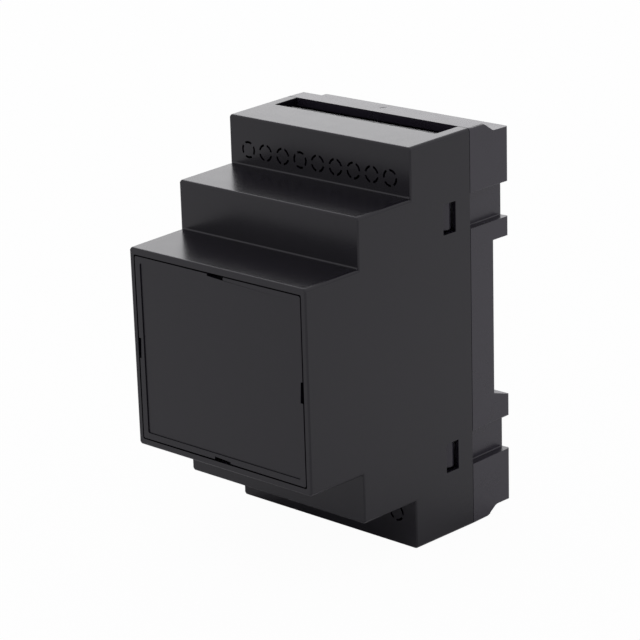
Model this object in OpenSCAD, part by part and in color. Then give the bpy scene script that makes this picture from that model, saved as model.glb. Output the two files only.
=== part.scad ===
// DIN rail enclosure: a stepped snap-fit cover over a shallow base that hooks on a 35 mm rail.
// Front is -Y, up is +Z. Inside the modules y runs back from the front face and z from mid-height;
// placed() then stands the part on its bottom, centred on the origin.

/* [Overall] */
// Width of the base, three rail modules
base_w = 52.5; // [45:0.5:75]
// Height of the base and of the cover's rear edge
base_h = 90.4; // [86:0.1:100]
// Depth of the base behind the seam
base_d = 13.1; // [12.6:0.1:20]
// Wall thickness of both shells
wall = 1.9; // [1.5:0.1:2.2]
// Moulding draft on the cover's walls, degrees
draft = 1; // [0.5:0.1:1.5]
// Radius of the long edges that run front to back
corner_r = 0.8; // [0.5:0.1:1.4]
// Radius of the base's upright rear edges
rear_r = 0.6; // [0.3:0.1:1.2]
// Radius of the edges round the front of each step
edge_r = 0.4; // [0.2:0.1:0.5]
// Radius of the corners inside the shells
inner_r = 0.4; // [0.2:0.1:1]

/* [Cover steps] */
// Height of the front step at the front face
front_step_h = 44.8; // [42:0.1:50]
// Height of the middle step at its front
mid_step_h = 67.3; // [60:0.1:72]
// Depth of the front step
front_step_d = 16; // [12:0.1:24]
// Depth of the middle step
mid_step_d = 16.5; // [12:0.1:24]
// Depth of the rear step, back to the seam
rear_step_d = 19.2; // [18:0.1:30]
// Gap between the cover's rear edge and the base
seam_gap = 0.15; // [0.1:0.05:0.4]

/* [Front panel] */
// Thickness of the rim at the panel's sides
rim_side = 1.25; // [1:0.05:1.5]
// Thickness of the rim above and below the panel
rim_end = 1.45; // [1:0.05:1.7]
// Thickness of the panel
panel_t = 1.9; // [1.5:0.1:2.5]
// Gap between the panel's edge and the rim
panel_gap = 0.3; // [0.15:0.05:0.4]
// Gap between the panel's back and its land
seat_gap = 0.1; // [0.05:0.05:0.3]
// Width of the land that the panel sits on
land_w = 1.9; // [1.5:0.1:3]
// Thickness of that land
land_t = 1.6; // [1.2:0.1:2.4]
// Width of the flat border round the panel's sunken field
field_border = 1.4; // [1:0.1:3]
// Depth of the sunken field
field_sink = 0.25; // [0.1:0.05:0.5]
// Length of the prising notches in the panel's edges
notch_l = 4.6; // [3:0.1:8]
// Depth of the prising notches
notch_d = 0.6; // [0.4:0.1:0.9]
// Length of the guide tongues behind the panel
tongue_l = 9; // [5:0.5:14]
// Reach of the guide tongues behind the panel
tongue_d = 4; // [2.5:0.5:8]
// Thickness of the guide tongues
tongue_t = 1.2; // [0.8:0.1:1.6]

/* [Terminal openings] */
// Pitch of the terminals; as many as fit get a screw hole each
pole_pitch = 5.08; // [4.6:0.01:7.62]
// Extra length of the opening past its terminals
opening_extra = 0.5; // [0.2:0.1:1]
// Least width of the cover's top at each end of the opening
opening_end = 2.8; // [2.2:0.1:5]
// Depth of the wire opening, front to back
opening_d = 7.5; // [6:0.1:9]
// Height of the screw holes' middles above the front of the middle step's top
knock_rise = 3.95; // [3.5:0.05:5]
// Diameter of the break-out disc
knock_disc = 2.9; // [2:0.1:3.2]
// Width of the slots round the disc
knock_slot = 0.5; // [0.4:0.1:0.6]
// Width of the bridges that hold the disc
knock_bridge = 0.8; // [0.6:0.1:1]
// Reach of the slotted lip that leads the wires in
lip_d = 3.2; // [2:0.1:4]
// Distance from the opening's left end to the lip
lip_start = 3.8; // [3:0.1:5]
// Radius of the lip's rounded top
lip_r = 40; // [20:1:60]
// Slope of the lip at the opening's front edge, degrees
lip_slope = 10; // [4:0.5:12]
// Thickness of the lip
lip_t = 1.2; // [0.8:0.1:1.6]
// How far the lip's top lies below the cover's top
lip_sink = 0.05; // [0.05:0.05:0.5]
// Width of the slots between the lip's fingers
lip_slot = 0.7; // [0.4:0.1:1]

/* [Snap windows] */
// Length of a snap window, front to back
window_l = 4; // [3.5:0.1:5]
// Height of a snap window
window_h = 6.7; // [5:0.1:9]
// Height of the snap windows above and below mid-height
window_z = 27; // [25:0.1:29]
// Distance from the seam to a window's rear edge
window_back = 4.9; // [4:0.1:6.5]
// How far a snap tab lies inside the base's side face
tab_inset = 2.5; // [2.3:0.1:3]
// Thickness of a snap tab
tab_t = 1.8; // [1.2:0.1:2.2]
// How far the catch stands out of its tab
catch_h = 1.3; // [0.8:0.1:1.6]
// Clearance of the catch in its window
catch_gap = 0.3; // [0.2:0.05:0.5]
// Height of the side recess that the tab runs in
recess_h = 7.9; // [7.2:0.1:10]
// Depth of the side recess
recess_d = 2.1; // [1.8:0.1:2.3]
// Reach of the ribs that centre the cover's sides on the base
rib_reach = 2; // [1:0.1:4]
// Thickness of those ribs
rib_t = 1.3; // [0.9:0.1:1.6]
// Clearance between the ribs and the cover's sides
rib_gap = 0.3; // [0.2:0.05:0.4]

/* [Rail channel] */
// Height of the rail
rail_h = 35; // [35:1:35]
// Clearance of the rail in the channel
rail_gap = 0.2; // [0.1:0.1:0.6]
// Height of the channel's middle above mid-height
rail_rise = 1.1; // [0:0.1:2]
// Depth of the channel
channel_d = 5.3; // [4.5:0.1:6]
// Drop of the lower shoulder towards the rear
shoulder_drop = 1.6; // [0.8:0.1:2.4]
// Width of each fixed rail hook
hook_w = 8; // [5:0.5:12]
// Distance between the middles of the two hooks
hook_span = 28; // [22:1:32]
// Space for the rail's flange in front of a hook
hook_slot = 2.1; // [1.6:0.1:2.6]
// How far a hook reaches down behind the rail
hook_reach = 1.8; // [1.2:0.1:2.5]

/* [Base ends] */
// Depth of the flat land behind the seam
end_land_d = 4.8; // [4:0.1:6]
// Depth of the bevel behind the land
bevel_d = 3.4; // [2:0.1:4]
// Drop of the bevel
bevel_drop = 2.1; // [1:0.1:3]

/* [Board bosses] */
// Distance between the bosses across the width
boss_span_w = 34; // [28:0.5:36]
// Distance between the bosses along the height
boss_span_h = 70; // [64:0.5:72]
// Height of a boss above the base's floor
boss_l = 8; // [4:0.5:10]
// Diameter of a boss
boss_d = 6; // [5:0.5:7]
// Diameter of the pilot hole
pilot_d = 2.2; // [1.5:0.1:3]
// Depth of the pilot hole
pilot_l = 6.5; // [3:0.5:8]

/* [Rail latch] */
// Width of the latch
latch_w = 13; // [11:0.5:15]
// Thickness of the latch
latch_t = 2.2; // [1.8:0.1:2.4]
// Running gap round the latch
latch_gap = 0.25; // [0.2:0.05:0.35]
// Travel of the latch
latch_travel = 3.5; // [2:0.1:4]
// How far the nose reaches above the lower shoulder
nose_reach = 1.8; // [1.2:0.1:2.5]
// Width of the nose
nose_w = 8.6; // [6:0.1:9]
// Small bevel on the nose's corners
nose_bevel = 0.4; // [0.2:0.1:0.6]
// Distance from the tail to the base's lower end
tail_gap = 1.8; // [1:0.1:3]
// Thickness of the lips that hold the latch in its guide
guide_lip_t = 1; // [0.8:0.1:1.2]
// How far those lips overhang the latch
guide_lip_w = 1.4; // [1:0.1:1.8]
// Width of the latch's spring arms
arm_w = 1.3; // [1:0.1:1.6]
// Length of the latch's spring arms
arm_l = 10; // [6:0.5:12]
// Width of the slot behind each arm
arm_slot = 1; // [0.6:0.1:1.4]
// How far the stop bump on an arm stands out
bump_h = 0.7; // [0.5:0.1:0.9]
// Distance of the stop bumps from the tail
bump_up = 8; // [6:0.5:12]
// Width of the screwdriver slot near the tail
eye_w = 6; // [4:0.5:6]
// Height of the screwdriver slot
eye_h = 1.6; // [1:0.1:2]
// Distance of the screwdriver slot from the tail
eye_up = 3; // [2:0.5:4]

/* [Hidden] */
$fn = 48;
eps = 0.01;
// Distance that cutters run past what they cut
past = 1;
slope = tan(draft);
charcoal = [0.045, 0.045, 0.048];

y_mid = front_step_d;
y_rear = y_mid + mid_step_d;
y_seam = y_rear + rear_step_d;
depth = y_seam + base_d;
y_land = y_seam + end_land_d;
y_bevel = y_land + bevel_d;
y_channel = depth - channel_d;

channel_h = rail_h + rail_gap;
z_channel_top = rail_rise + channel_h / 2;
z_channel_low = rail_rise - channel_h / 2;
z_shoulder = z_channel_low - shoulder_drop;
z_end = base_h / 2 - bevel_drop;

pole_count = floor((base_w - 2 * opening_end - opening_extra) / pole_pitch);
opening_w = pole_count * pole_pitch + opening_extra;
y_opening = y_seam - opening_d;
knock_d = knock_disc + 2 * knock_slot;
knock_turns = [45, 0, -5, 40, 0, 0, -10, 0, 20];

front_w = cover_w(0);
rebate_w = front_w - 2 * rim_side;
rebate_h = front_step_h - 2 * rim_end;
rebate_d = panel_t + seat_gap;

y_window = y_seam - window_back - window_l;
x_tab = base_w / 2 - tab_inset;
catch_w = window_h - 2 * catch_gap;

guide_w = latch_w + 2 * latch_gap;
y_guide = depth - guide_lip_t - latch_t - 2 * latch_gap;
bump_l = 2 * bump_h;
z_tail = -z_end + tail_gap;
z_bump = z_tail + bump_up;

// Width of the cover at depth y
function cover_w(y) = base_w - 2 * (y_seam - y) * slope;
// Height of a step that measures h at depth y0, further back at depth y
function step_h(h, y0, y) = h + 2 * (y - y0) * slope;

module placed() translate([0, -depth / 2, base_h / 2]) children();

// Draws a side profile (y, z) out to both sides over length l
module along_x(l) rotate([90, 0, 90]) linear_extrude(l, center = true) children();

// Draws a front profile (x, z) back from depth y over length l
module along_y(y, l) translate([0, y + l, 0]) rotate([90, 0, 0]) linear_extrude(l) children();

module rounded_rect(w, h, r) {
    square([w - 2 * r, h], center = true);
    square([w, h - 2 * r], center = true);
    for (x = [-1, 1], z = [-1, 1])
        translate([x * (w / 2 - r), z * (h / 2 - r)]) circle(r);
}

// Repeats its children at both sides and at top and bottom
module four_ways()
    for (x = [0, 1], z = [0, 1])
        mirror([x, 0, 0]) mirror([0, 0, z]) children();

module both_ends()
    for (z = [0, 1])
        mirror([0, 0, z]) children();

// ---- Cover ----

// Thin slice of a drafted step at depth y; h is the step's height at depth yh
module step_slice(y, h, yh, inset, r)
    along_y(y, eps)
        rounded_rect(cover_w(y) - 2 * inset, step_h(h, yh, y) - 2 * inset, r, $fn = 32);

// Outside of one step from depth y0 to y1, with its front edge rounded
module step_solid(y0, y1, h, yh)
    hull() {
        for (a = [0 : 45 : 90])
            step_slice(y0 + edge_r * (1 - sin(a)), h, yh, edge_r * (1 - cos(a)),
                       corner_r - edge_r / 3 * (1 - cos(a)));
        step_slice(y1, h, yh, 0, corner_r);
    }

// Hollow of one step, a wall's thickness inside it
module step_hollow(y0, y1, h, yh)
    hull() {
        step_slice(y0, h, yh, wall, inner_r);
        step_slice(y1, h, yh, wall, inner_r);
    }

module cover_shell() {
    difference() {
        union() {
            step_solid(0, y_mid + wall / 2, front_step_h, 0);
            step_solid(y_mid, y_rear + wall / 2, mid_step_h, y_mid);
            step_solid(y_rear, y_seam, base_h, y_seam);
        }
        step_hollow(rebate_d + land_t, y_mid + 2 * wall, front_step_h, 0);
        step_hollow(y_mid + wall, y_rear + 2 * wall, mid_step_h, y_mid);
        step_hollow(y_rear + wall, y_seam + past, base_h, y_seam);
        along_y(y_seam - seam_gap, 2 * past) square(2 * base_h, center = true);
    }
}

// A break-out disc: four arc slots round it, held by four bridges turned by angle a
module knock_out(a) {
    rotate(a)
        difference() {
            circle(d = knock_d);
            circle(d = knock_disc);
            square([knock_d + past, knock_bridge], center = true);
            square([knock_bridge, knock_d + past], center = true);
        }
}

module knock_out_row()
    along_y(y_rear - past, wall + 2 * past)
        for (i = [0 : pole_count - 1])
            translate([(i - (pole_count - 1) / 2) * pole_pitch, mid_step_h / 2 + knock_rise])
                knock_out(knock_turns[i % len(knock_turns)]);

module terminal_opening()
    translate([-opening_w / 2, y_opening, base_h / 2 - 2 * wall])
        cube([opening_w, opening_d + past, 3 * wall]);

// The lip runs to the opening's right end; a slot lies in front of each screw hole
module wire_lip() {
    root = wall / 10;
    lip_w = opening_w - lip_start + root;
    y_lip = y_opening - lip_r * sin(lip_slope);
    z_lip = step_h(base_h, y_seam, y_opening) / 2 - lip_sink - lip_r * cos(lip_slope);
    difference() {
        translate([(lip_start + root) / 2, 0, 0])
            along_x(lip_w)
                intersection() {
                    translate([y_lip, z_lip])
                        difference() {
                            circle(lip_r, $fn = 180);
                            circle(lip_r - lip_t, $fn = 180);
                        }
                    translate([y_opening - root, z_lip]) square([lip_d + root, lip_r]);
                }
        for (i = [0 : pole_count - 1])
            translate([(i - (pole_count - 1) / 2) * pole_pitch - lip_slot / 2, y_opening, z_lip])
                cube([lip_slot, lip_d + past, lip_r + past]);
    }
}

// The window, and behind it the groove that lets the catch pass
module snap_window() {
    groove_x = x_tab + catch_h + catch_gap / 2;
    translate([base_w / 2 - 2 * wall, y_window, window_z - window_h / 2])
        cube([3 * wall, window_l, window_h]);
    translate([groove_x - 2 * wall, y_window, window_z - window_h / 2])
        cube([2 * wall, y_seam - y_window, window_h]);
}

module cover()
    color(charcoal) placed() {
        difference() {
            cover_shell();
            along_y(-past, rebate_d + past) rounded_rect(rebate_w, rebate_h, corner_r / 2);
            along_y(0, rebate_d + land_t + past)
                rounded_rect(rebate_w - 2 * land_w, rebate_h - 2 * land_w, corner_r);
            both_ends() {
                knock_out_row();
                terminal_opening();
            }
            four_ways() snap_window();
        }
        both_ends() wire_lip();
    }

// ---- Base ----

module base_profile()
    polygon([
        [y_seam, -base_h / 2],
        [y_land, -base_h / 2],
        [y_bevel, -z_end],
        [depth, -z_end],
        [depth, z_shoulder],
        [y_channel, z_channel_low],
        [y_channel, z_channel_top],
        [depth, z_channel_top],
        [depth, z_end],
        [y_bevel, z_end],
        [y_land, base_h / 2],
        [y_seam, base_h / 2]
    ]);

module base_block()
    intersection() {
        along_x(base_w) base_profile();
        along_y(y_seam, base_d) rounded_rect(base_w, base_h, corner_r);
        translate([0, y_seam, -base_h / 2])
            linear_extrude(base_h) rounded_rect(base_w, 2 * base_d, rear_r);
    }

module base_cavity() {
    along_x(base_w - 2 * wall) offset(delta = -wall) base_profile();
    along_y(y_seam - past, wall + 2 * past)
        rounded_rect(base_w - 2 * wall, base_h - 2 * wall, inner_r);
}

// The solid round a side recess; the tab grows out of it, a little inside its floor
module recess_block()
    translate([x_tab - tab_t, y_seam, window_z - recess_h / 2 - wall])
        cube([tab_inset + tab_t - wall / 2, base_d, recess_h + 2 * wall]);

module side_recess()
    translate([base_w / 2 - recess_d, y_seam - past, window_z - recess_h / 2])
        cube([2 * recess_d, base_d + 2 * past, recess_h]);

// A springy tab and its ramped catch, which snaps into the cover's window
module snap_tab() {
    y_tip = y_window - tab_t / 2;
    y_catch = y_window + window_l - catch_gap;
    translate([x_tab - tab_t, y_tip, window_z - recess_h / 2 + catch_gap])
        cube([tab_t, y_seam - y_tip + wall, recess_h - 2 * catch_gap]);
    translate([0, 0, window_z - catch_w / 2])
        linear_extrude(catch_w)
            polygon([
                [x_tab - tab_t / 2, y_window + catch_gap],
                [x_tab, y_window + catch_gap],
                [x_tab + catch_h, y_catch - catch_h],
                [x_tab + catch_h, y_catch],
                [x_tab - tab_t / 2, y_catch]
            ]);
}

// Half of the rib that stands inside the cover's side wall
module side_rib() {
    x_out = base_w / 2 - wall - rib_gap;
    z_stop = window_z - recess_h / 2 - 2 * wall;
    along_y(y_seam - rib_reach, rib_reach + 2 * wall)
        translate([x_out - rib_t, 0]) square([rib_t, z_stop]);
    along_y(y_seam + wall / 2, wall)
        translate([x_out - rib_t, 0]) square([rib_t + 2 * rib_gap, z_stop]);
}

module rail_hook() {
    y_hook = y_channel + hook_slot;
    soft = hook_reach / 3;
    along_x(hook_w)
        polygon([
            [y_hook, z_channel_top + wall / 2],
            [y_hook, z_channel_top - hook_reach + soft],
            [y_hook + soft, z_channel_top - hook_reach],
            [depth - soft, z_channel_top - hook_reach],
            [depth, z_channel_top - hook_reach + soft],
            [depth, z_channel_top + wall / 2]
        ]);
}

// Boss for a board screw, standing forward from the base's floor
module board_boss()
    difference() {
        along_y(depth - wall - boss_l, boss_l + eps) circle(d = boss_d);
        along_y(depth - wall - boss_l - past, pilot_l + past) circle(d = pilot_d);
    }

module latch_housing() {
    side = bump_h + latch_gap + wall / 2;
    translate([-guide_w / 2 - side, y_guide - wall, -z_end])
        cube([guide_w + 2 * side, depth - y_guide + wall, z_end + z_shoulder]);
    if (y_channel > y_guide - wall)
        translate([-guide_w / 2 - side, y_guide - wall, -z_end])
            cube([guide_w + 2 * side, y_channel - y_guide + wall, z_end + z_channel_low]);
}

// T-shaped guide, open at the shoulder and at the base's lower end, with pockets for the stop bumps
module latch_guide() {
    mouth_w = guide_w - 2 * guide_lip_w;
    pocket_l = bump_l + latch_travel + 2 * latch_gap;
    translate([-guide_w / 2, y_guide, -base_h / 2])
        cube([guide_w, latch_t + 2 * latch_gap, base_h / 2 + z_channel_low + past]);
    translate([-mouth_w / 2, y_guide, -base_h / 2])
        cube([mouth_w, depth - y_guide + past, base_h / 2 + z_channel_low + past]);
    translate([-guide_w / 2 - bump_h, y_guide, z_bump + bump_h + latch_gap - pocket_l])
        cube([guide_w + 2 * bump_h, latch_t + 2 * latch_gap, pocket_l]);
}

module base()
    color(charcoal) placed() {
        difference() {
            union() {
                base_shell();
                latch_housing();
            }
            latch_guide();
        }
        for (x = [-1, 1])
            translate([x * hook_span / 2, 0, 0]) rail_hook();
        four_ways() {
            snap_tab();
            side_rib();
            translate([boss_span_w / 2, 0, boss_span_h / 2]) board_boss();
        }
    }

module base_shell()
    difference() {
        union() {
            difference() {
                base_block();
                base_cavity();
            }
            intersection() {
                four_ways() recess_block();
                base_block();
            }
        }
        four_ways() side_recess();
    }

// ---- Front panel ----

module front_panel() {
    panel_w = rebate_w - 2 * panel_gap;
    panel_h = rebate_h - 2 * panel_gap;
    x_tongue = rebate_w / 2 - land_w - panel_gap;
    z_tongue = rebate_h / 2 - land_w - panel_gap;
    color(charcoal) placed() {
        difference() {
            along_y(0, panel_t) rounded_rect(panel_w, panel_h, corner_r / 2);
            along_y(-past, past + field_sink)
                rounded_rect(panel_w - 2 * field_border, panel_h - 2 * field_border, corner_r / 2);
            for (s = [-1, 1]) {
                along_y(-past, panel_t + 2 * past)
                    translate([0, s * panel_h / 2]) square([notch_l, 2 * notch_d], center = true);
                along_y(-past, panel_t + 2 * past)
                    translate([s * panel_w / 2, 0]) square([2 * notch_d, notch_l], center = true);
            }
        }
        for (s = [-1, 1]) {
            along_y(panel_t - eps, tongue_d)
                translate([0, s * (z_tongue - tongue_t / 2)]) square([tongue_l, tongue_t], center = true);
            along_y(panel_t - eps, tongue_d)
                translate([s * (x_tongue - tongue_t / 2), 0]) square([tongue_t, tongue_l], center = true);
        }
    }
}

// ---- Rail latch ----

module latch_plate() {
    difference() {
        union() {
            translate([-latch_w / 2, z_tail]) square([latch_w, z_shoulder - z_tail]);
            for (x = [-1, 1])
                translate([x * latch_w / 2, z_bump]) circle(bump_h);
        }
        for (x = [-1, 1])
            translate([x * (latch_w / 2 - arm_w - arm_slot / 2), z_bump - bump_h + arm_l / 2])
                square([arm_slot, arm_l], center = true);
        translate([0, z_tail + eye_up]) square([eye_w, eye_h], center = true);
    }
}

module rail_latch() {
    y_latch = y_guide + latch_gap;
    y_back = y_latch + latch_t;
    y_nose = max(y_channel + hook_slot - latch_gap, y_latch);
    z_nose = z_channel_low + nose_reach;
    color(charcoal) placed() {
        along_y(y_latch, latch_t) latch_plate();
        along_x(nose_w)
            polygon([
                [y_nose, z_shoulder - latch_t],
                [y_nose, z_nose - nose_bevel],
                [y_nose + nose_bevel, z_nose],
                [y_nose + 2 * nose_bevel, z_nose],
                [depth - seat_gap, z_shoulder - nose_bevel],
                [depth - seat_gap, z_shoulder - latch_t],
                [y_back, z_shoulder - 2 * latch_t],
                [y_back - latch_t / 2, z_shoulder - 2 * latch_t],
                [y_back - latch_t / 2, z_shoulder - latch_t]
            ]);
    }
}

cover();
base();
front_panel();
rail_latch();
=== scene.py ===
# %% [markdown]
# # Dressing a rail enclosure
#
# The real object is a black moulded case for electronics. It clips onto a 35 mm rail in a
# switch cabinet: a cover in three steps sits on a shallow base, with a panel set in its face.
# The solids already have the true form. This lesson gives them softened edges, a moulded
# plastic finish, a plain studio and a camera.

# %% Load the solids
import math

import bmesh
import bpy
from mathutils import Matrix, Vector


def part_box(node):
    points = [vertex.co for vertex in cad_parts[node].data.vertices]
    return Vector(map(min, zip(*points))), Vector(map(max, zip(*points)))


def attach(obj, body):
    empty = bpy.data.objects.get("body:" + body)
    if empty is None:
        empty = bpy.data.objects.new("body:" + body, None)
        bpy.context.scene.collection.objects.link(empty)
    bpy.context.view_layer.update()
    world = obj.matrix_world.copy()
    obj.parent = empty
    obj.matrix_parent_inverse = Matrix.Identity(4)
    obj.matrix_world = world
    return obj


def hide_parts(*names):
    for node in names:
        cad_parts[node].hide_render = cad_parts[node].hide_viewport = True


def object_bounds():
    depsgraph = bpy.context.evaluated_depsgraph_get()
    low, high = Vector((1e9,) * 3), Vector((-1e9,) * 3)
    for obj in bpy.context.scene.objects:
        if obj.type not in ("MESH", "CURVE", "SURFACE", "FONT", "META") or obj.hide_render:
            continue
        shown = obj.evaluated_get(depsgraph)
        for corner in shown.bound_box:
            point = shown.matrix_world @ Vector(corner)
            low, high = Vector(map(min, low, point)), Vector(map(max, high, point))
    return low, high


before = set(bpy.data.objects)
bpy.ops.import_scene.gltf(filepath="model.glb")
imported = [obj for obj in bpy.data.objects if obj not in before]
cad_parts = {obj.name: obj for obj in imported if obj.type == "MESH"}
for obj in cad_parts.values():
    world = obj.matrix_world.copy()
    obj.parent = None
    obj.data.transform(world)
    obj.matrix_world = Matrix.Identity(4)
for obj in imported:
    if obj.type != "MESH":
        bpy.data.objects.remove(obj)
solid_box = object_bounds()
MM = 0.001

# %% [markdown]
# ## Places on the solids
#
# The rest of the lesson needs to know where a few edges are: where each step of the cover
# ends, where the opening begins, where cover and base meet, and where the base's rear bevel
# lies. They are counted from the boxes of the two solids.

# %% Places in mm; y runs back from the middle of the depth
cover_front, cover_back = (corner.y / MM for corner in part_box("cover"))
base_back, base_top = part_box("base")[1].y / MM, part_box("base")[1].z / MM
SEAM_GAP = 0.15
SEAM = cover_back + SEAM_GAP
STEP_BACKS = (cover_front + 16.0, cover_front + 32.5)
OPENING_FRONT = SEAM - 7.5
BASE_BEVEL = (base_back - 8.3, base_back - 4.9)
GATE = (-0.7, SEAM + 3.3, base_top)  # where the plastic ran into the mould
print("seam at", round(SEAM, 3), "steps end at", [round(place, 3) for place in STEP_BACKS])

# %% [markdown]
# ## Writing shader sums as plain sums
#
# A finish is a graph of nodes, and most of it is arithmetic. Wiring each Math node by hand
# hides what is being worked out. The small class here wraps one output socket, so that
# `1 - mask * 0.3` adds the Math nodes by itself. Any other node comes from one method, `node`.

# %% A socket that does sums
class Sum:
    """One output socket in a node tree, with Python's operators on it."""

    def __init__(self, tree, socket):
        self.tree, self.socket = tree, socket

    def math(self, operation, *others, clamp=False):
        made = self.tree.node("ShaderNodeMath", {"operation": operation, "use_clamp": clamp})
        for slot, value in zip(made.inputs, (self, *others)):
            self.tree.feed(slot, value)
        return Sum(self.tree, made.outputs[0])

    def __add__(self, other): return self.math("ADD", other)
    def __radd__(self, other): return self.math("ADD", other)
    def __sub__(self, other): return self.math("SUBTRACT", other)
    def __rsub__(self, other): return (self * -1.0) + other
    def __mul__(self, other): return self.math("MULTIPLY", other)
    def __rmul__(self, other): return self.math("MULTIPLY", other)
    def __truediv__(self, other): return self.math("DIVIDE", other)


# %% A node tree with one way to add a node
class Tree:
    """A material's or a world's node tree."""

    def __init__(self, owner):
        owner.use_nodes = True
        self.nodes, self.links = owner.node_tree.nodes, owner.node_tree.links
        self.nodes.clear()

    def feed(self, slot, value):
        if isinstance(value, Sum):
            self.links.new(value.socket, slot)
        elif value is not None:
            slot.default_value = value

    def node(self, kind, settings=None, **sockets):
        made = self.nodes.new(kind)
        for name, value in (settings or {}).items():
            setattr(made, name, value)
        for name, value in sockets.items():
            self.feed(made.inputs[name.replace("_", " ")], value)
        return made

    def out(self, made, name):
        return Sum(self, made.outputs[name])

    def finish(self, kind, made):
        """Leads a shader to the tree's output node."""
        self.links.new(made.outputs[0], self.node(kind).inputs["Surface"])


print("sums ready")

# %% [markdown]
# ## The plastic
#
# Such cases are moulded in a charcoal-black flame-retardant plastic. The mould is spark
# eroded, so the surface has a very fine even grain, with a satin sheen that mirrors what
# stands near it. Almost no light comes back out of the plastic itself: what the eye sees is
# the room in its gloss. So the base colour is nearly black, and the work is in the roughness
# and in a bump at two scales: the grain, and the slow waviness of a thin moulded wall.

# %% Relief and tint of the plastic
GRAIN_SCALE, WAVE_SCALE, CLOUD_SCALE = 5200.0, 60.0, 210.0  # cells per metre
LIGHTER = 1.35  # the palest flecks against the mean colour
PIT_RADIUS, PIT_DEPTH = 0.6, 7.0  # in mm, and in heights of the slow waves
ROUGH_SWING = 0.06  # how far the roughness goes from its least to its most


def noise(tree, place, scale, detail=2.0):
    return tree.out(tree.node("ShaderNodeTexNoise", Vector=place, Scale=scale, Detail=detail), "Fac")


def gate_pit(tree, place, gate):
    """1 inside the shallow pit at gate (in mm), and 0 beyond its sloping rim."""
    away = tree.node("ShaderNodeVectorMath", {"operation": "DISTANCE"})
    tree.feed(away.inputs[0], place)
    tree.feed(away.inputs[1], Vector(gate) * MM)
    slope = 1.6 - tree.out(away, "Value") / (PIT_RADIUS * MM)
    return slope.math("MINIMUM", 1.0).math("MAXIMUM", 0.0)


def flecked(tree, cloud, colour):
    """The colour, mixed with a slightly lighter one where the cloud is dense."""
    tint = tree.node("ShaderNodeMix", {"data_type": "RGBA"})
    factor, first, second = tint.inputs[0], tint.inputs[6], tint.inputs[7]
    tree.feed(factor, cloud)
    tree.feed(first, (*colour, 1))
    tree.feed(second, (*(part * LIGHTER for part in colour), 1))
    return Sum(tree, tint.outputs[2])


print("noise cells per metre:", GRAIN_SCALE, WAVE_SCALE, CLOUD_SCALE)


# %% Moulded plastic
def moulded(name, colour, rough, grain, wave, bend=1.5, gate=None):
    """A satin plastic: colour, rough and bend (its IOR) are means, grain and wave are heights in mm."""
    made = bpy.data.materials.new(name)
    tree = Tree(made)
    place = tree.out(tree.node("ShaderNodeTexCoord"), "Object")
    fine = noise(tree, place, GRAIN_SCALE)
    slow = noise(tree, place, WAVE_SCALE)
    cloud = noise(tree, place, CLOUD_SCALE, detail=4.0)
    if gate:
        slow = slow - gate_pit(tree, place, gate) * PIT_DEPTH

    waves = tree.node("ShaderNodeBump", Height=slow, Distance=wave * MM, Strength=1.0)
    grains = tree.node("ShaderNodeBump", Height=fine, Distance=grain * MM, Strength=1.0,
                       Normal=tree.out(waves, "Normal"))
    skin = tree.node("ShaderNodeBsdfPrincipled", Base_Color=flecked(tree, cloud, colour),
                     Roughness=rough - ROUGH_SWING / 2 + cloud * ROUGH_SWING,
                     Normal=tree.out(grains, "Normal"), IOR=bend)
    tree.finish("ShaderNodeOutputMaterial", skin)
    return made


# %% The four finishes
CHARCOAL = (0.0032, 0.0024, 0.0052)
GREYER = (0.0150, 0.0125, 0.0200)
finishes = {
    "cover": moulded("cover_black", CHARCOAL, 0.25, 0.0018, 0.012),
    "base": moulded("base_black", GREYER, 0.28, 0.002, 0.02, bend=1.58, gate=GATE),
    "front_panel": moulded("panel_black", CHARCOAL, 0.30, 0.003, 0.03),
    "rail_latch": moulded("latch_black", CHARCOAL, 0.32, 0.005, 0.01),
}
print("finishes:", sorted(finishes))

# %% [markdown]
# ## Softened mouldings
#
# No moulded edge is knife sharp: the steel of the mould leaves a radius of a few tenths of a
# millimetre, and each edge catches a thin line of light. The solids have the large radii.
# Here each one is copied, its triangles are joined back into whole faces, and the edges that
# are still sharp get a radius that suits them. Where a step meets the next one there is a
# fillet, and the bevelled ends of the base are softer than the rest. The seam stays crisp,
# because two mouldings meet closely there, and so does the front edge of each opening.

# %% Radii, in mm
STEP_FILLET, BEVEL_RADIUS, SEAM_RADIUS = 0.35, 0.7, 0.03
USUAL_RADIUS = {"cover": 0.12, "base": 0.22, "front_panel": 0.12, "rail_latch": 0.15}
print("radii:", USUAL_RADIUS, "step fillet:", STEP_FILLET)

# %% Join triangles back into faces
SAME_PLACE, SAME_PLANE = 0.002, 0.4  # in mm, and in degrees


def welded(node):
    """A copy of a solid's mesh with shared corners, and no triangles or slits in its flat faces."""
    mesh = bmesh.new()
    mesh.from_mesh(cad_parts[node].data)
    bmesh.ops.remove_doubles(mesh, verts=mesh.verts, dist=SAME_PLACE * MM)
    bmesh.ops.dissolve_limit(mesh, angle_limit=math.radians(SAME_PLANE), verts=mesh.verts,
                             edges=mesh.edges, delimit={"NORMAL"})
    slit_ends = [corner for corner in mesh.verts if len(corner.link_edges) == 2]
    bmesh.ops.dissolve_verts(mesh, verts=slit_ends)
    return mesh


# %% The radius of one edge
SLIGHT_BEND, SOFT_BEND, SQUARE_BEND = 25, 35, 80.2  # in degrees
SHORTEST, LONG_EDGE = 0.8, 20  # in mm
ROOM_BESIDE = 2.2  # how many radii wide the faces on both sides must be


def near(value, *places, within=0.2):
    return any(abs(value - place) < within for place in places)


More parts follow.
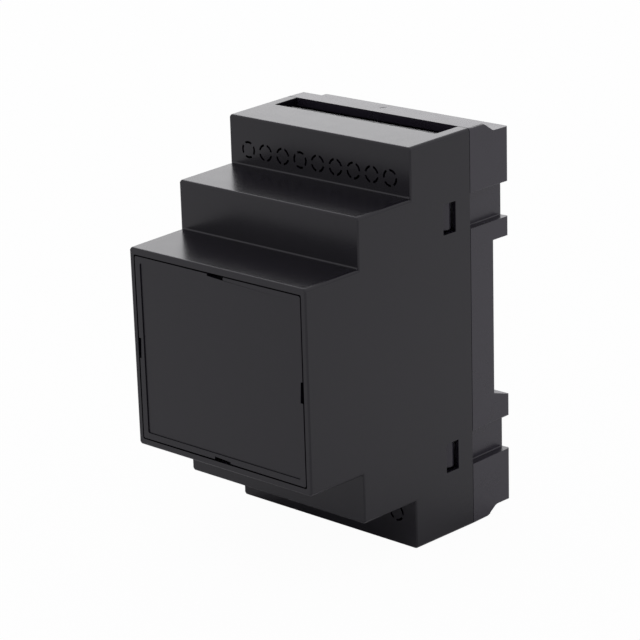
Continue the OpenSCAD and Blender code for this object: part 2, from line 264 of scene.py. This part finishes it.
def edge_radius(edge, node, usual):
    """The radius in mm that an edge gets, or 0 to leave it as it is."""
    bend = math.degrees(edge.calc_face_angle(0))
    if len(edge.link_faces) != 2 or bend < SLIGHT_BEND:
        return 0
    middle = (edge.verts[0].co + edge.verts[1].co) / 2 / MM
    length = edge.calc_length() / MM
    narrow = min(face.calc_area() for face in edge.link_faces) / MM ** 2 / max(length, 0.01)
    level = abs((edge.verts[1].co - edge.verts[0].co).y) / MM < 0.01
    faces_front = any(face.normal.y < -0.99 for face in edge.link_faces)
    inner_corner = not edge.is_convex and faces_front and bend > SQUARE_BEND and length > 0.05
    if node == "cover" and inner_corner and near(middle.y, *STEP_BACKS):
        return STEP_FILLET
    if node == "base" and length > LONG_EDGE and level and near(middle.y, *BASE_BEVEL):
        return BEVEL_RADIUS
    if level and near(middle.y, SEAM, SEAM - SEAM_GAP, within=0.05):
        return SEAM_RADIUS
    if node == "cover" and level and near(middle.y, OPENING_FRONT):
        return 0
    if bend < SOFT_BEND or length < SHORTEST or narrow < ROOM_BESIDE * usual:
        return 0
    return usual


# %% [markdown]
# ## Even shading
#
# Every face corner gets a normal that follows the widest faces round it. So a broad wall
# shades evenly right up to its rounded edge, and the thin strips of the edge do the turning.

# %% Even shading
def even_shading(data, limit=50):
    """Gives each face corner the mean normal, by area, of the faces round it within limit degrees."""
    meeting = [[] for _ in data.vertices]
    for face in data.polygons:
        face.use_smooth = True
        for corner in face.vertices:
            meeting[corner].append((face.normal.copy(), face.area))
    least = math.cos(math.radians(limit))
    normals = []
    for face in data.polygons:
        for corner in face.vertices:
            alike = (way * area for way, area in meeting[corner] if way.dot(face.normal) > least)
            mean = sum(alike, Vector())
            normals.append(mean.normalized() if mean.length > 0 else face.normal)
    data.normals_split_custom_set(normals)


# %% Bevel a solid's edges
def softened(node, usual):
    """A welded copy of a solid with bevelled edges; usual is their radius in mm."""
    mesh = welded(node)
    weights = mesh.edges.layers.float.new("bevel_weight_edge")
    for edge in mesh.edges:
        edge[weights] = edge_radius(edge, node, usual) / BEVEL_RADIUS
    rounded = sum(edge[weights] > 0 for edge in mesh.edges)
    data = bpy.data.meshes.new(node + "_sharp")
    mesh.to_mesh(data)
    mesh.free()
    if "custom_normal" in data.attributes:
        data.attributes.remove(data.attributes["custom_normal"])
    piece = bpy.data.objects.new(node + "_moulding", data)
    bpy.context.scene.collection.objects.link(piece)
    round_off = piece.modifiers.new("round_off", "BEVEL")
    round_off.limit_method, round_off.width, round_off.segments = "WEIGHT", BEVEL_RADIUS * MM, 3
    round_off.use_clamp_overlap = False
    done = piece.evaluated_get(bpy.context.evaluated_depsgraph_get())
    piece.data = bpy.data.meshes.new_from_object(done)
    piece.modifiers.clear()
    even_shading(piece.data)
    print(node, "rounded", rounded, "edges,", len(piece.data.polygons), "faces")
    return piece


# %% [markdown]
# ## Dressing
#
# Each softened copy takes its solid's place, moves with its body and carries its finish.

# %% Dress each solid
for node, usual in USUAL_RADIUS.items():
    piece = softened(node, usual)
    piece.data.materials.clear()
    piece.data.materials.append(finishes[node])
    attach(piece, node)
    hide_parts(node)
    print(piece.name, "wears", finishes[node].name)

# %% [markdown]
# ## The studio
#
# A black glossy thing is lit by what it mirrors. A white floor fills its upright faces from
# below, a broad soft panel far behind gives its upper faces their pale sheen, and the steps
# mirror each other, which draws them apart.

# %% Floor
REACH = 6  # metres to each side
floor_mesh = bpy.data.meshes.new("floor")
corners = [(-REACH, -REACH, 0), (REACH, -REACH, 0), (REACH, REACH, 0), (-REACH, REACH, 0)]
floor_mesh.from_pydata(corners, [], [(0, 1, 2, 3)])
floor = bpy.data.objects.new("floor", floor_mesh)
floor.location.z = solid_box[0].z - 0.05 * MM
bpy.context.scene.collection.objects.link(floor)
print("floor at", round(floor.location.z, 6))

# %% Floor paint: a matt white that looks lit through to the eye, with a trace of shadow
MATT_WHITE, LIT_THROUGH = 0.90, 0.97
white = bpy.data.materials.new("floor_white")
tree = Tree(white)
seen = tree.out(tree.node("ShaderNodeLightPath"), "Is Camera Ray")
matt = tree.node("ShaderNodeBsdfDiffuse", Color=(MATT_WHITE, MATT_WHITE, MATT_WHITE, 1))
glow = tree.node("ShaderNodeEmission", Color=(1, 1, 1, 1), Strength=1.0)
blend = tree.node("ShaderNodeMixShader", Fac=seen * LIT_THROUGH)
tree.links.new(matt.outputs[0], blend.inputs[1])
tree.links.new(glow.outputs[0], blend.inputs[2])
tree.finish("ShaderNodeOutputMaterial", blend)
floor_mesh.materials.append(white)
print("floor paint:", white.name)

# %% World: brightest to the eye, a little brighter in gloss than on matt surfaces
AIR, MORE_IN_GLOSS, MORE_TO_EYE = 0.62, 0.12, 0.34
world = bpy.data.worlds.new("studio")
bpy.context.scene.world = world
tree = Tree(world)
path = tree.node("ShaderNodeLightPath")
seen = tree.out(path, "Is Camera Ray")
gloss = tree.out(path, "Is Glossy Ray") + tree.out(path, "Is Transmission Ray")
air = tree.node("ShaderNodeBackground", Color=(1, 0.985, 1.03, 1),
                Strength=AIR + gloss * MORE_IN_GLOSS + seen * MORE_TO_EYE)
tree.finish("ShaderNodeOutputWorld", air)
print("world:", world.name)


# %% [markdown]
# ## The lamps
#
# The broad panel behind and to the left makes the pale sheen on the upper faces, which fades
# where a step stands before it. A weak one overhead lifts the rest.

# %% Lamps
def softbox(name, place, aim, size, watts):
    """A soft lamp of the given width and height in metres, at place, turned to aim."""
    lamp = bpy.data.lights.new(name, "AREA")
    lamp.shape, lamp.size, lamp.size_y, lamp.energy = "RECTANGLE", *size, watts
    made = bpy.data.objects.new(name, lamp)
    made.location = place
    made.rotation_euler = (Vector(aim) - Vector(place)).to_track_quat("-Z", "Y").to_euler()
    bpy.context.scene.collection.objects.link(made)
    print(name, "of", watts, "W")


middle = (solid_box[0] + solid_box[1]) / 2
softbox("back_panel", middle + Vector((-1.35, 1.48, 0.75)), middle, (2.4, 1.3), 11)
softbox("top_panel", middle + Vector((0.1, -0.2, 1.5)), middle, (1.2, 1.2), 1)

# %% [markdown]
# ## The camera
#
# A long lens from the right and a little above, leaning by a degree or two, as a camera
# levelled by hand does.

# %% Camera
STAND = Vector((354.23, -386.79, 219.68)) * MM
LENS, SENSOR = 142.58, 36.0
around, above, lean = (math.radians(turn) for turn in (42.531, 18.158, -1.735))
back = Vector((math.sin(around) * math.cos(above), -math.cos(around) * math.cos(above), math.sin(above)))
level = Vector((0, 0, 1)).cross(back).normalized()
upright = back.cross(level)
side_axis = math.cos(lean) * level + math.sin(lean) * upright
top_axis = math.cos(lean) * upright - math.sin(lean) * level
eye = bpy.data.cameras.new("camera")
eye.lens, eye.sensor_width = LENS, SENSOR
eye.clip_end = 50
camera = bpy.data.objects.new("camera", eye)
turned = Matrix((side_axis, top_axis, back)).transposed().to_4x4()
camera.matrix_world = Matrix.Translation(STAND) @ turned
bpy.context.scene.collection.objects.link(camera)
bpy.context.scene.camera = camera
bpy.context.scene.view_settings.view_transform = "Standard"
print("camera at", [round(v, 3) for v in camera.location])
